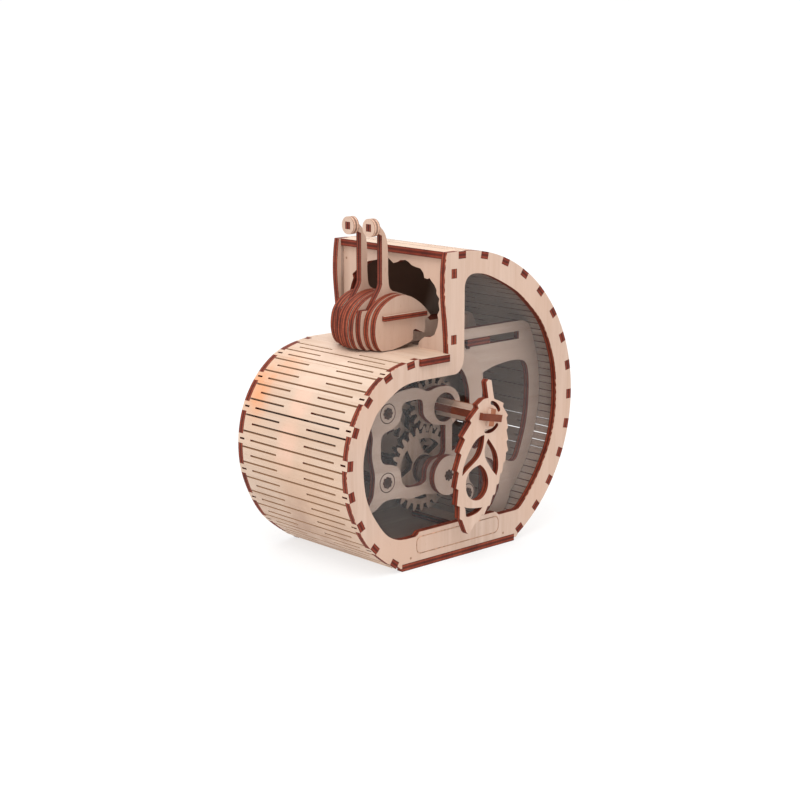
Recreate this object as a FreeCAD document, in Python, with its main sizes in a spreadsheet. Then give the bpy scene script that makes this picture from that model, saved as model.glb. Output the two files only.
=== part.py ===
import FreeCAD, Part
import os, math
import Sketcher
from FreeCAD import Vector, Placement, Rotation

# Wooden coin bank kit: a 92 mm wide laser-cut ply casing with a layered
# animal head on a slide, driven by a leaf-shaped hand crank through a
# two-stage gear train and a rack.  X runs from the head's side (-X) to the
# round back (+X), Y from the near plate (-Y) to the far plate (+Y), Z up.
# The origin is the centre of the base board's underside.

os.makedirs("parts", exist_ok=True)
doc = FreeCAD.newDocument("coin_bank")

# ---------------------------------------------------------------- dimensions
sheet = doc.addObject("Spreadsheet::Sheet", "dims")
DIMS = [
    ("ply", 4.0, "thickness of the laser-cut sheet"),
    ("casing_width", 92.0, "outside of near plate to outside of far plate"),
    ("half_width", 46.0, "outer face of a side plate from the mid-plane"),
    ("inner_half", 42.0, "inner face of a side plate from the mid-plane"),
    ("shell_radius", 90.0, "outer radius of the round shell"),
    ("shell_height", 80.5, "height of the shell's centre above the floor"),
    ("step_height", 115.6, "top of the step in front of the doorway"),
    ("roof_front", -10.5, "front edge of the roof"),
    ("tab_length", 5.5, "length of a skin tab along the contour"),
    ("tab_pitch", 17.37, "distance from tab to tab along the contour"),
    ("skin_end", 2.2, "height of the left skin's lower end"),
    ("slit_width_right", 0.5, "width of a living-hinge slit in the right skin"),
    ("slit_width", 1.05, "width of a living-hinge slit"),
    ("slot_fit", 0.05, "clearance of a glued slot or notch"),
    ("crank_x", 4.2, "crank axis, X"),
    ("crank_z", 81.4, "crank axis, Z"),
    ("gear_module", 1.75, "gear module"),
    ("teeth_small", 16, "teeth of both pinions"),
    ("teeth_large", 26, "teeth of both large gears"),
    ("idler_angle", -99.3, "direction from the crank axis to the idler axis"),
    ("pressure_angle", 20.0, "pressure angle"),
    ("backlash", 0.12, "thinning of each tooth at the pitch circle"),
    ("shaft_span", 15.4, "span of the plus-shaped shaft's wide strip"),
    ("shaft_span_b", 9.6, "span of its narrow strip"),
    ("shaft_hole", 8.25, "radius of a hole that the shaft turns in"),
    ("frame_front", -29.0, "front face of the near mechanism frame"),
    ("guide_front", -25.0, "front face of the near guide plate"),
    ("plane_a", -17.5, "front face of the first gear pair"),
    ("plane_b", -9.5, "front face of the second gear pair and the rack"),
    ("shaft_front_y", -65.8, "front end of the plus-shaped shaft"),
    ("hub", 12.0, "radius of a frame's hub round the shaft"),
    ("leaf_front_y", -63.5, "front face of the leaf-shaped crank"),
    ("rack_pitch", 104.15, "height of the rack's pitch line"),
    ("carriage_z", 112.2, "underside of the carriage plate"),
    ("guide_slot_low", 111.9, "lower edge of the guide slot"),
    ("guide_slot_top", 116.5, "upper edge of the guide slot"),
    ("layer", 4.0, "thickness of a head layer"),
    ("layer_mid", 5.0, "thickness of the middle layer, the coin's width"),
    ("eye_radius", 4.9, "radius of an eye disc"),
    ("eye_z", 182.4, "height of the eyes"),
    ("coin_slot_length", 28.0, "length of the coin slot"),
    ("pane", 2.0, "thickness of the clear pane"),
    ("rod_radius", 3.3, "radius of the spacer rods"),
    ("groove_a", 5.65, "ring line round a rod end, outside"),
    ("groove_b", 5.1, "ring line round a rod end, inside"),
    ("axle_hole", 3.45, "radius of a hole that the lobed axle turns in"),
    ("pane_hole", 8.4, "radius of the pane's hole for the shaft"),
    ("ring_thickness", 2.0, "thickness of the far shaft bush"),
    ("bush_radius", 12.0, "outer radius of the shaft bushes"),
    ("collar_radius", 10.4, "radius of the shaft collar"),
    ("disc_radius", 11.2, "radius of the idler's front disc"),
    ("hub_radius", 8.0, "radius of the idler's hub disc"),
    ("spacer_radius", 5.0, "radius of the idler's sleeve"),
    ("sleeve", 5.2, "length of the idler's sleeve"),
    ("disc_front", -38.5, "front face of the idler's front disc"),
    ("shelf", 2.7, "thickness of the head's shelf"),
    ("hatch_radius", 18.0, "radius of the coin hatch"),
    ("cover_radius", 22.0, "radius of the hatch cover"),
    ("hatch_x", 52.0, "coin hatch, X"),
    ("hatch_z", 66.0, "coin hatch, Z"),
    ("pin_radius", 2.5, "radius of the hatch pin"),
    ("pin_hole", 2.55, "radius of the cover's pivot hole"),
]
for row, (alias, value, note) in enumerate(DIMS, 1):
    sheet.set("A%d" % row, note)
    sheet.set("B%d" % row, str(value))
    sheet.setAlias("B%d" % row, alias)
doc.recompute()


def d(alias):
    return float(sheet.get(alias))


PLY = d("ply")
RAD = d("shell_radius")
ZC = d("shell_height")
STEP = d("step_height")
CX, CZ = d("crank_x"), d("crank_z")
MOD = d("gear_module")
N1, N2 = int(d("teeth_small")), int(d("teeth_large"))
CENTRES = MOD * (N1 + N2) / 2
IA = math.radians(d("idler_angle"))
IX, IZ = CX + CENTRES * math.cos(IA), CZ + CENTRES * math.sin(IA)

parts = {}


# ------------------------------------------------------------------- helpers
def plane(body, role):
    for f in body.Origin.OriginFeatures:
        if f.Role == role:
            return f
    raise ValueError(role)


def add_loop(sk, items):
    """items: ("L", pts), ("S", pts[, tangents]), ("A", p, mid, q), ("C", c, r)."""
    for it in items:
        kind = it[0]
        if kind == "L":
            for a, b in zip(it[1][:-1], it[1][1:]):
                if math.hypot(a[0] - b[0], a[1] - b[1]) > 1e-6:
                    sk.addGeometry(Part.LineSegment(Vector(a[0], a[1], 0), Vector(b[0], b[1], 0)), False)
        elif kind == "S":
            c = Part.BSplineCurve()
            c.interpolate([Vector(p[0], p[1], 0) for p in it[1]])
            sk.addGeometry(c, False)
        elif kind == "P":
            c = Part.BSplineCurve()
            c.interpolate([Vector(p[0], p[1], 0) for p in it[1]], PeriodicFlag=True)
            sk.addGeometry(c, False)
        elif kind == "A":
            sk.addGeometry(Part.Arc(Vector(it[1][0], it[1][1], 0), Vector(it[2][0], it[2][1], 0),
                                    Vector(it[3][0], it[3][1], 0)), False)
        elif kind == "C":
            i = sk.addGeometry(Part.Circle(Vector(it[1][0], it[1][1], 0), Vector(0, 0, 1), 1.0), False)
            k = sk.addConstraint(Sketcher.Constraint("Radius", i, d(it[2])))
            sk.setExpression("Constraints[%d]" % k, "dims." + it[2])


def sketch(body, name, role, loops, lift=0.0):
    sk = body.newObject("Sketcher::SketchObject", name)
    sk.AttachmentSupport = [(plane(body, role), "")]
    sk.MapMode = "FlatFace"
    if lift:
        sk.AttachmentOffset = Placement(Vector(0, 0, lift), Rotation())
    for loop in loops:
        add_loop(sk, loop)
    return sk


def slab(label, role, loops, thick, at, offset_expr=None):
    """A sheet piece: an outline with its holes, padded by one dimension."""
    body = doc.addObject("PartDesign::Body", label)
    body.Label = label
    sk = sketch(body, label + "_outline", role, loops)
    pad = body.newObject("PartDesign::Pad", label + "_pad")
    pad.Profile = sk
    pad.setExpression("Length", "dims." + thick)
    body.Placement = Placement(Vector(*at), Rotation())
    if offset_expr:
        prop, expr = offset_expr
        body.setExpression("Placement.Base." + prop, expr)
    doc.recompute()
    parts[label] = body
    return body


def cut(body, name, role, loops, length, lift=0.0, mid=False, reverse=False, expr=None):
    """A pocket in a sheet piece, with its effect checked by volume."""
    before = body.Shape.Volume
    sk = sketch(body, name + "_sketch", role, loops, lift)
    pk = body.newObject("PartDesign::Pocket", name)
    pk.Profile = sk
    pk.Length = length
    if expr:
        pk.setExpression("Length", expr)
    pk.Midplane = mid
    pk.Reversed = reverse
    doc.recompute()
    after = body.Shape.Volume
    if not 0 < after < before - 1e-3 or len(body.Shape.Solids) != 1:
        raise RuntimeError("%s: volume %.2f to %.2f" % (name, before, after))
    return pk


def grow(body, name, role, loops, length, lift=0.0, mid=False, expr=None):
    sk = sketch(body, name + "_sketch", role, loops, lift)
    pd = body.newObject("PartDesign::Pad", name)
    pd.Profile = sk
    pd.Length = length
    if expr:
        pd.setExpression("Length", expr)
    pd.Midplane = mid
    doc.recompute()
    return pd


def rect(x0, z0, x1, z1):
    return [("L", [(x0, z0), (x1, z0), (x1, z1), (x0, z1), (x0, z0)])]


def turned(cx, cz, ang, hw, hh):
    """A rectangle of half sizes hw, hh with its first axis at ang."""
    c, s = math.cos(ang), math.sin(ang)
    q = [(cx + u * c - v * s, cz + u * s + v * c) for u, v in ((-hw, -hh), (hw, -hh), (hw, hh), (-hw, hh))]
    return [("L", q + [q[0]])]


def plus(cx, cz, ang, span, span_b, thick):
    a, e, b = span / 2, span_b / 2, thick / 2
    q = [(a, -b), (a, b), (b, b), (b, e), (-b, e), (-b, b), (-a, b), (-a, -b), (-b, -b), (-b, -e), (b, -e), (b, -b)]
    c, s = math.cos(ang), math.sin(ang)
    q = [(cx + u * c - v * s, cz + u * s + v * c) for u, v in q]
    return [("L", q + [q[0]])]


def star(cx, cz, r1, r2, n):
    q = []
    for k in range(2 * n):
        a = math.pi * (k - 1) / n
        r = r2 if k % 2 == 0 else r1
        q.append((cx + r * math.cos(a), cz + r * math.sin(a)))
    q.append(q[0])
    return [("A", q[2 * k], q[2 * k + 1], q[2 * k + 2]) for k in range(n)]


def lobed_hole(cx, cz):
    """Hole that a lobed rod is glued into."""
    r = d("rod_radius")
    return star(cx, cz, r + 0.04, r - 0.98, 8)


def polar(cx, cz, r, deg):
    a = math.radians(deg)
    return (cx + r * math.cos(a), cz + r * math.sin(a))


# ------------------------------------------------- contour of the two skins
# Mid-line of the left skin, from the flat step to the base.
LEFT = [(-30.0, 113.6), (-37.7, 112.9), (-54.1, 108.2), (-68.0, 97.2), (-77.1, 82.3), (-80.9, 65.1),
        (-79.9, 48.2), (-73.6, 31.2), (-63.7, 17.0), (-49.7, 5.8), (-44.6, 2.1)]
mid_left = Part.BSplineCurve()
mid_left.interpolate(Points=[Vector(p[0], p[1], 0) for p in LEFT],
                     InitialTangent=Vector(-8, 0, 0), FinalTangent=Vector(5, -3.7, 0))


def left_at(s):
    """Point and outward normal at arc length s of the left mid-line."""
    t = mid_left.parameterAtDistance(s)
    p = mid_left.value(t)
    tan = mid_left.tangent(t)[0]
    return (p.x, p.y), (tan.y, -tan.x)


LEFT_LEN = mid_left.length()


def left_offset(dist, n=30, s0=0.0, s1=None):
    s1 = LEFT_LEN if s1 is None else s1
    out = []
    for k in range(n + 1):
        (px, pz), (nx, nz) = left_at(s0 + (s1 - s0) * k / n)
        out.append((px + nx * dist, pz + nz * dist))
    return out


def left_s(pt):
    return mid_left.length(mid_left.FirstParameter, mid_left.parameter(Vector(pt[0], pt[1], 0)))


LEFT_TABS = [left_s(p) for p in LEFT[1:-1]]
RIGHT_PITCH = math.degrees(d("tab_pitch") / (RAD - PLY / 2))
RIGHT_TABS = [90 - RIGHT_PITCH * k for k in range(14)]


def outline(dist=0.0, cut_x=None):
    """Side plate contour, moved inwards by dist."""
    lo = left_offset(PLY / 2 - dist, 30)
    lo = [p for p in lo if p[1] > PLY + 1.0]
    s_end = lo[-1]
    r = RAD - dist
    a_end = -math.degrees(math.asin((ZC - PLY) / r))
    p_end = polar(0, ZC, r, a_end)
    front = d("roof_front")
    return lo, s_end, r, a_end, p_end, front


# ------------------------------------------------------------- side plates
WINDOW = [("S", [(9.9, 157.5), (15.6, 156.9), (29.8, 151.6), (46.0, 142.4), (54.3, 135.3), (62.7, 126.7),
                 (71.0, 112.2), (75.2, 100.5), (77.0, 89.1), (77.4, 80.3), (77.0, 71.5), (73.5, 55.6), (63.9, 37.0),
                 (56.5, 27.2), (49.8, 20.4)]),
          ("S", [(49.8, 20.4), (47.2, 18.4), (44.0, 17.8)]),
          ("L", [(44.0, 17.8), (31.6, 17.8)]),
          ("S", [(31.6, 17.8), (30.0, 18.3), (28.8, 19.4), (27.0, 20.0)]),
          ("L", [(27.0, 20.0), (-30.0, 20.0)]),
          ("S", [(-30.0, 20.0), (-31.8, 19.4), (-33.0, 18.3), (-34.8, 17.8)]),
          ("L", [(-34.8, 17.8), (-41.2, 17.8)]),
          ("S", [(-41.2, 17.8), (-49.3, 19.4), (-55.0, 22.7), (-60.5, 28.8), (-66.0, 37.1), (-69.9, 46.4),
                 (-71.5, 56.3), (-71.5, 67.3), (-69.3, 76.1), (-66.0, 83.8), (-62.7, 89.3), (-57.2, 94.3),
                 (-50.6, 98.7), (-44.0, 102.0), (-36.3, 103.5), (-31.0, 103.7)]),
          ("L", [(-31.0, 103.7), (-6.0, 103.7)]),
          ("S", [(-6.0, 103.7), (-2.6, 104.3), (0.2, 106.9), (1.7, 110.6), (2.0, 114.0)]),
          ("L", [(2.0, 114.0), (2.0, 150.8)]),
          ("S", [(2.0, 150.8), (2.6, 153.2), (4.4, 155.9), (7.1, 157.2), (9.9, 157.5)])]


def plate_loops(window=None, holes=()):
    lo, s_end, r, a_end, p_end, front = outline()
    top = ZC + r
    pts = [("L", [(0.0, top), (front - 0.8, top)]),
           ("S", [(front - 0.8, top), (front - 2.2, 158.6), (front - 2.2, 148.0), (front - 1.3, 138.0), (front - 0.2, 127.0), (front + 0.5, STEP)]),
           ("L", [(front + 0.5, STEP), lo[0]]),
           ("S", lo),
           ("L", [s_end, (-47.6, PLY), (-45.0, 1.8), (45.2, 1.8), p_end]),
           ("A", p_end, polar(0, ZC, r, 15), (0.0, top))]
    loops = [pts]
    if window:
        loops.append(window)
    loops.extend(holes)
    return loops


def notch_loops():
    """Openings for the skin tabs, the step tab, the wall tenons and the base tab."""
    f = d("slot_fit")
    hw = d("tab_length") / 2 + f
    loops = []
    for a in RIGHT_TABS:
        c = polar(0, ZC, RAD - PLY / 2 + 2, a)
        loops.append(turned(c[0], c[1], math.radians(a), PLY / 2 + 2 + f, hw))
    for s in LEFT_TABS:
        (px, pz), (nx, nz) = left_at(s)
        loops.append(turned(px + nx * 2, pz + nz * 2, math.atan2(nz, nx), PLY / 2 + 2 + f, hw))
    loops.append(rect(-31.7 - f, STEP - PLY - f, -10.2 + f, STEP + f))
    for z in (158.8, 122.8):
        loops.append(rect(-8.0 - f, z - 2.55 - f, -4.0 + f, z + 2.55 + f))
    loops.append(rect(-44.0 - f, -1.0, 43.5 + f, PLY + f))
    return loops


def rounded(x0, z0, x1, z1, r):
    k = r * (1 - math.sqrt(0.5))
    return [("L", [(x0 + r, z0), (x1 - r, z0)]), ("A", (x1 - r, z0), (x1 - k, z0 + k), (x1, z0 + r)),
            ("L", [(x1, z0 + r), (x1, z1 - r)]), ("A", (x1, z1 - r), (x1 - k, z1 - k), (x1 - r, z1)),
            ("L", [(x1 - r, z1), (x0 + r, z1)]), ("A", (x0 + r, z1), (x0 + k, z1 - k), (x0, z1 - r)),
            ("L", [(x0, z1 - r), (x0, z0 + r)]), ("A", (x0, z0 + r), (x0 + k, z0 + k), (x0 + r, z0))]


near = slab("plate_near", "XZ_Plane", plate_loops(WINDOW), "ply", (0, -d("inner_half"), 0), ("y", "-dims.inner_half"))
cut(near, "plate_near_notches", "XZ_Plane", notch_loops(), 20.0, mid=True)
# plain etched outline of a bare panel below the window
cut(near, "plate_near_panel", "XZ_Plane", [rounded(-33.6, 7.6, 30.6, 17.6, 3.4), rounded(-33.0, 8.2, 30.0, 17.0, 2.8)], 0.3,
    lift=PLY)

hx, hz = d("hatch_x"), d("hatch_z")
PIN = (hx, hz + d("cover_radius") + 5.0)
far = slab("plate_far", "XZ_Plane",
           plate_loops(None, [[("C", (hx, hz), "hatch_radius")], [("C", PIN, "pin_radius")]]),
           "ply", (0, d("half_width"), 0), ("y", "dims.half_width"))
cut(far, "plate_far_notches", "XZ_Plane", notch_loops(), 20.0, mid=True)


# ------------------------------------------------------------------- skins
def skin_right():
    body = doc.addObject("PartDesign::Body", "skin_right")
    ri = RAD - PLY
    ao = -math.degrees(math.asin((ZC - PLY) / RAD))
    ai = -math.degrees(math.asin((ZC - PLY) / ri))
    po, pi = polar(0, ZC, RAD, ao), polar(0, ZC, ri, ai)
    front = -10.0
    band = [("L", [(0.0, ZC + RAD), (front, ZC + RAD), (front, ZC + ri), (0.0, ZC + ri)]),
            ("A", (0.0, ZC + ri), polar(0, ZC, ri, 15), pi), ("L", [pi, po]),
            ("A", po, polar(0, ZC, RAD, 15), (0.0, ZC + RAD))]
    sk = sketch(body, "skin_right_band", "XZ_Plane", [band])
    pad = body.newObject("PartDesign::Pad", "skin_right_pad")
    pad.Profile = sk
    pad.setExpression("Length", "dims.inner_half * 2")
    pad.Midplane = True
    doc.recompute()
    hw = d("tab_length") / 2
    tabs = [turned(*polar(0, ZC, RAD - PLY / 2, a), math.radians(a), PLY / 2, hw) for a in RIGHT_TABS]
    grow(body, "skin_right_tabs", "XZ_Plane", tabs, 92.0, mid=True, expr="dims.casing_width")
    step = RIGHT_PITCH / 4
    slits(body, "skin_right", [polar(0, ZC, RAD - PLY / 2, 90 - step * k) + (math.radians(90 - step * k), k % 4)
                               for k in range(0, 53)], "slit_width_right")
    parts["skin_right"] = body
    return body


def slits(body, name, rows, alias):
    """Living-hinge slits: rows of (x, z, angle, position in the four-row cycle)."""
    w = d(alias) / 2
    wide = 2 * d("inner_half")
    ends = [turned(x, z, a, PLY, w) for x, z, a, k in rows if k in (1, 3)]
    mids = [turned(x, z, a, PLY, w) for x, z, a, k in rows if k in (0, 2)]
    tabs = [turned(x, z, a, PLY, w) for x, z, a, k in rows if k == 0]
    half = d("inner_half")
    # one long slit in every second row
    cut(body, name + "_slits_mid", "XZ_Plane", mids, wide * 0.84, mid=True)
    # two slits from the sides in the rows between them
    cut(body, name + "_slits_near", "XZ_Plane", ends, wide * 0.38, lift=half - wide * 0.38, reverse=True)
    cut(body, name + "_slits_far", "XZ_Plane", ends, wide * 0.35, lift=-half, reverse=True)
    # a short slit in the root of each tab
    cut(body, name + "_tab_near", "XZ_Plane", tabs, 4.0, lift=half - 1.5, reverse=True)
    cut(body, name + "_tab_far", "XZ_Plane", tabs, 4.0, lift=-half - 2.5, reverse=True)


def skin_left():
    body = doc.addObject("PartDesign::Body", "skin_left")
    outer = left_offset(PLY / 2, 36)
    inner = left_offset(-PLY / 2, 36)

    def clip(pts):
        """The part of an offset line above the sheet's lower end."""
        out = [pts[0]]
        end = d("skin_end")
        if pts[-1][1] > end:
            # run on along the last step
            (ax, az), (bx, bz) = pts[-2], pts[-1]
            k = (az - end + 0.2) / (az - bz)
            pts = pts[:-1] + [(ax + (bx - ax) * k, az + (bz - az) * k)]
        for a, b in zip(pts[:-1], pts[1:]):
            if b[1] <= end:
                t = (a[1] - end) / (a[1] - b[1])
                q = (a[0] + (b[0] - a[0]) * t, end)
                if math.hypot(q[0] - out[-1][0], q[1] - out[-1][1]) < 1.0:
                    out[-1] = q
                else:
                    out.append(q)
                return out
            out.append(b)
        return out
    outer, inner = clip(outer), clip(inner)
    right = -4.0
    band = [("L", [(right, STEP - PLY), (right, STEP), outer[0]]), ("S", outer), ("L", [outer[-1], inner[-1]]),
            ("S", inner[::-1]), ("L", [inner[0], (right, STEP - PLY)])]
    sk = sketch(body, "skin_left_band", "XZ_Plane", [band])
    pad = body.newObject("PartDesign::Pad", "skin_left_pad")
    pad.Profile = sk
    pad.setExpression("Length", "dims.inner_half * 2")
    pad.Midplane = True
    doc.recompute()
    hw = d("tab_length") / 2
    tabs = []
    for s in LEFT_TABS:
        (px, pz), (nx, nz) = left_at(s)
        tabs.append(turned(px, pz, math.atan2(nz, nx), PLY / 2 - 0.01, hw))
    grow(body, "skin_left_tabs", "XZ_Plane", tabs, 92.0, mid=True, expr="dims.casing_width")
    grow(body, "skin_left_step_tab", "XZ_Plane", [rect(-31.7, STEP - PLY, -10.2, STEP)], 95.0, mid=True,
         expr="dims.casing_width + 3")
    rows = []
    for i in range(len(LEFT_TABS) - 1):
        s0, s1 = LEFT_TABS[i], LEFT_TABS[i + 1]
        for k in range(4):
            if i == 0 and k == 0:
                continue
            (px, pz), (nx, nz) = left_at(s0 + (s1 - s0) * k / 4)
            rows.append((px, pz, math.atan2(nz, nx), k))
    (px, pz), (nx, nz) = left_at(LEFT_TABS[-1])
    rows.append((px, pz, math.atan2(nz, nx), 0))
    slits(body, "skin_left", rows, "slit_width")
    parts["skin_left"] = body
    return body


skin_right()
skin_left()

# -------------------------------------------------------------- base, wall
base = slab("base_board", "XY_Plane", [rect(-40.6, -d("inner_half"), 46.3, d("inner_half"))], "ply", (0, 0, 0))
hw, ih = d("half_width"), d("inner_half")
grow(base, "base_board_tabs", "XY_Plane",
     [[("L", [(-44.0, k * hw), (43.5, k * hw), (43.5, k * (ih - 0.5)), (-40.6, k * (ih - 0.5)), (-40.6, k * ih), (-44.0, k * ih),
              (-44.0, k * hw)])] for k in (-1, 1)], 4.0, expr="dims.ply")

DOOR = [(-19.6, STEP), (-21.0, 119.2), (-25.0, 121.9), (-29.8, 122.5), (-32.9, 124.1), (-33.7, 125.8), (-35.2, 128.8),
        (-36.0, 132.7), (-35.2, 135.4), (-36.8, 138.3), (-36.0, 142.0), (-36.7, 144.3), (-34.4, 146.8), (-34.4, 149.0),
        (-32.8, 151.5), (-30.4, 153.5), (-28.9, 154.9), (-27.3, 154.2), (-24.9, 154.5), (-24.1, 157.2), (-21.8, 159.4),
        (-17.8, 159.9), (-14.6, 160.6), (-12.2, 162.1), (-9.8, 162.9), (-5.7, 162.5), (-3.3, 161.2), (0.0, 160.3),
        (4.1, 162.7), (9.0, 162.0), (14.8, 160.6), (20.7, 159.4), (25.5, 156.6), (28.0, 154.3), (30.1, 153.9), (34.5, 150.7),
        (33.6, 148.5), (35.4, 144.8), (36.6, 141.0), (35.0, 137.4), (36.4, 133.5), (34.8, 129.2), (34.2, 125.4),
        (29.6, 122.6), (24.6, 121.6), (21.2, 119.4), (19.6, STEP)]
ih = d("inner_half")
wall_out = [("L", [(19.6, STEP), (ih, STEP), (ih, ZC + RAD - PLY), (-ih, ZC + RAD - PLY), (-ih, STEP), (-19.6, STEP)]),
            ("L", DOOR)]
wall = slab("doorway_wall", "YZ_Plane", [wall_out], "ply", (-8.0, 0, 0))
grow(wall, "doorway_wall_tenons", "YZ_Plane",
     [rect(s * 41.0 if s > 0 else -45.9, z - 2.55, 45.9 if s > 0 else -41.0, z + 2.55)
      for s in (-1, 1) for z in (158.8, 122.8)], 4.0, expr="dims.ply")

# -------------------------------------------------------------- clear pane
pane_r = RAD - PLY - 0.6
pl = left_offset(-PLY / 2 - 0.6, 30)
pl = [p for p in pl if 6.6 < p[1] < 110.2 and p[0] < -38.0]
ea = -math.degrees(math.asin((ZC - 4.5) / pane_r))
pe = polar(0, ZC, pane_r, ea)
ps = polar(0, ZC, pane_r, 91.5)
pane_loop = [("L", [ps, (ps[0], 110.9), (-38.0, 109.6), pl[0]]), ("S", pl), ("L", [pl[-1], (pl[-1][0] + 3.6, 4.5), pe]),
             ("A", pe, polar(0, ZC, pane_r, 15), ps)]
slab("window_pane", "XZ_Plane", [pane_loop, [("C", (CX, CZ), "pane_hole")]], "pane", (0, -40.0, 0))

# --------------------------------------------------- mechanism frames, guides
R_IN = RAD - PLY - 0.5
frame_outer = [
    ("S", [(-51.0, 30.9), (-46.5, 32.4), (-43.1, 34.6), (-34.1, 35.6), (-28.5, 34.9), (-23.9, 33.9), (-17.2, 33.7),
           (-10.4, 34.1), (-5.9, 33.4), (-1.0, 33.2), (4.0, 33.4), (9.5, 31.6), (13.6, 27.2), (17.4, 23.9), (22.4, 22.8),
           (26.7, 24.6), (28.2, 28.6), (26.8, 32.6), (24.3, 35.4), (23.6, 39.5), (25.2, 44.0), (29.6, 47.2), (36.0, 47.5),
           (42.0, 45.0), (46.6, 39.0), (48.4, 32.0), (47.7, 26.5), (45.2, 22.2), (42.6, 18.2), (39.0, 15.0), (35.5, 10.5),
           (33.5, PLY)]),
    ("L", [(33.5, PLY), (38.0, PLY)]),
]
hub_low = (9.8, CZ - math.sqrt(d("hub") ** 2 - (9.8 - CX) ** 2))
hub_top = polar(CX, CZ, d("hub"), 95.0)
frame_right = [polar(0, ZC, R_IN, a) for a in (-61, -58.5, -56, -53.5, -51.5)]
frame_outer += [("L", [(38.0, PLY), frame_right[0]]), ("S", frame_right),
                ("S", [frame_right[-1], (56.6, 19.5), (57.9, 24.5), (57.3, 32.4), (55.0, 38.0), (52.8, 43.7),
                       (50.5, 50.5), (48.0, 57.0), (42.0, 60.8), (36.5, 65.0), (33.6, 72.0), (33.4, 82.0), (34.1, 92.1),
                       (33.9, 95.5), (32.5, 99.5), (30.2, 103.4), (26.8, 107.4), (22.3, 110.2), (14.0, 111.8)]),
                ("L", [(14.0, 111.8), (-3.8, 111.8), (-3.8, 108.2), (3.0, 107.6)]),
                ("S", [(3.0, 107.6), (10.5, 105.6), (16.6, 101.7), (19.9, 97.6), (22.2, 92.1), (23.3, 87.0), (23.6, 81.0),
                       (24.0, 75.5), (25.8, 69.5), (29.4, 63.0), (31.6, 58.0), (30.6, 54.6), (27.2, 53.8), (24.6, 56.0),
                       (20.0, 57.3), (14.0, 56.6), (9.8, 55.4)]),
                ("L", [(9.8, 55.4), hub_low]),
                ("A", hub_low, polar(CX, CZ, d("hub"), 10.0), hub_top),
                ("S", [hub_top, (-0.6, 93.6), (-4.6, 93.0), (-8.2, 92.3), (-12.0, 93.4), (-17.2, 95.3),
                       (-25.1, 95.5), (-30.7, 95.0), (-36.3, 93.3),
                       (-41.5, 91.0), (-46.0, 86.8), (-49.2, 82.2), (-50.8, 77.5), (-49.9, 73.0), (-50.4, 66.2),
                       (-49.9, 58.3), (-48.3, 50.4), (-48.9, 43.7), (-50.3, 38.0), (-52.6, 34.5), (-51.0, 30.9)])]
frame_window = [("S", [(-28.5, 86.5), (-26.2, 88.3), (-21.7, 88.8), (-16.8, 88.8), (-13.8, 88.0), (-12.6, 85.0),
                       (-12.1, 79.7), (-9.3, 76.2), (-5.9, 73.6), (-2.5, 72.4)]),
                ("L", [(-2.5, 72.4), (4.7, 71.2), (4.7, 57.2)]),
                ("S", [(4.7, 57.2), (3.6, 54.6), (1.0, 53.4), (-1.9, 53.4), (-5.9, 52.3), (-8.9, 49.3), (-9.9, 45.4),
                       (-10.2, 42.4), (-12.6, 40.5), (-16.6, 39.8), (-21.7, 40.2)]),
                ("S", [(-21.7, 40.2), (-26.2, 41.4), (-28.5, 44.8), (-29.6, 50.4), (-31.2, 52.6), (-34.1, 54.4),
                       (-38.6, 55.6), (-42.0, 56.8), (-43.7, 59.4), (-43.9, 65.0), (-43.7, 70.7), (-42.0, 73.0),
                       (-36.3, 74.7), (-31.8, 76.9), (-29.0, 80.9), (-28.5, 86.5)])]
RODS = [("tie_rod_upper", (-38.8, 84.1)), ("tie_rod_lower", (-39.3, 45.7)), ("tie_rod_right", (22.4, 28.6))]
# two curved windows that leave a column between the bearings

def frame_piece(label, y, near):
    """A mechanism frame with a ring line round each rod end on its outer face."""
    holes = [[("C", (CX, CZ), "shaft_hole")], [("C", (IX, IZ), "axle_hole")]]
    holes += [lobed_hole(*p) for n, p in RODS]
    body = slab(label, "XZ_Plane", [frame_outer, frame_window] + holes, "ply", (0, y, 0))
    lines = []
    for n, p in RODS:
        lines += [[("C", p, g)] for g in ("groove_a", "groove_b")]
    cut(body, label + "_ring_lines", "XZ_Plane", lines, 0.5, lift=PLY if near else 0.0, reverse=not near)
    return body


frame_piece("frame_near", d("frame_front") + PLY, True)
frame_piece("frame_far", -d("frame_front"), False)

guide_arc0 = polar(0, ZC, R_IN, 27.5)
guide_arc1 = polar(0, ZC, R_IN, -61.0)
guide_outer = [("L", [(0.0, 118.4), (15.0, 122.5), (68.4, 122.5)]), ("S", [(68.4, 122.5), (72.0, 121.9), guide_arc0]),
               ("A", guide_arc0, polar(0, ZC, R_IN, -15), guide_arc1),
               ("L", [guide_arc1, (38.5, PLY), (37.5, PLY)]),
               ("S", [(37.5, PLY), (38.5, 20.0), (39.4, 34.0), (38.2, 41.0), (34.0, 47.4), (29.4, 54.0), (27.2, 62.0),
                      (27.3, 80.0), (27.4, 88.0), (25.8, 96.0), (21.0, 103.6), (12.0, 107.9)]),
               ("L", [(12.0, 107.9), (0.0, 107.9), (0.0, 118.4)])]
guide_dhole = [("S", [(31.0, 90.0), (32.3, 93.8), (37.6, 95.8), (44.1, 97.7), (52.3, 99.2), (60.6, 99.9), (67.3, 99.6),
                      (73.3, 97.3), (75.7, 92.2), (76.6, 81.4), (75.9, 68.3), (73.8, 57.9), (70.0, 46.9), (65.4, 39.8),
                      (58.2, 41.1), (46.0, 46.5), (36.0, 53.5), (31.5, 62.0), (30.6, 76.0), (31.0, 90.0)])]
s0, s1 = d("guide_slot_low"), d("guide_slot_top")
guide_slot = [("L", [(4.0, s0), (24.2, s0), (24.6, 110.9), (27.4, 110.9), (27.8, s0), (67.5, s0), (67.5, s1), (4.0, s1),
                     (4.0, s0)])]


def guide_piece(label, y):
    return slab(label, "XZ_Plane", [guide_outer, guide_dhole, guide_slot], "ply", (0, y, 0))


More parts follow.
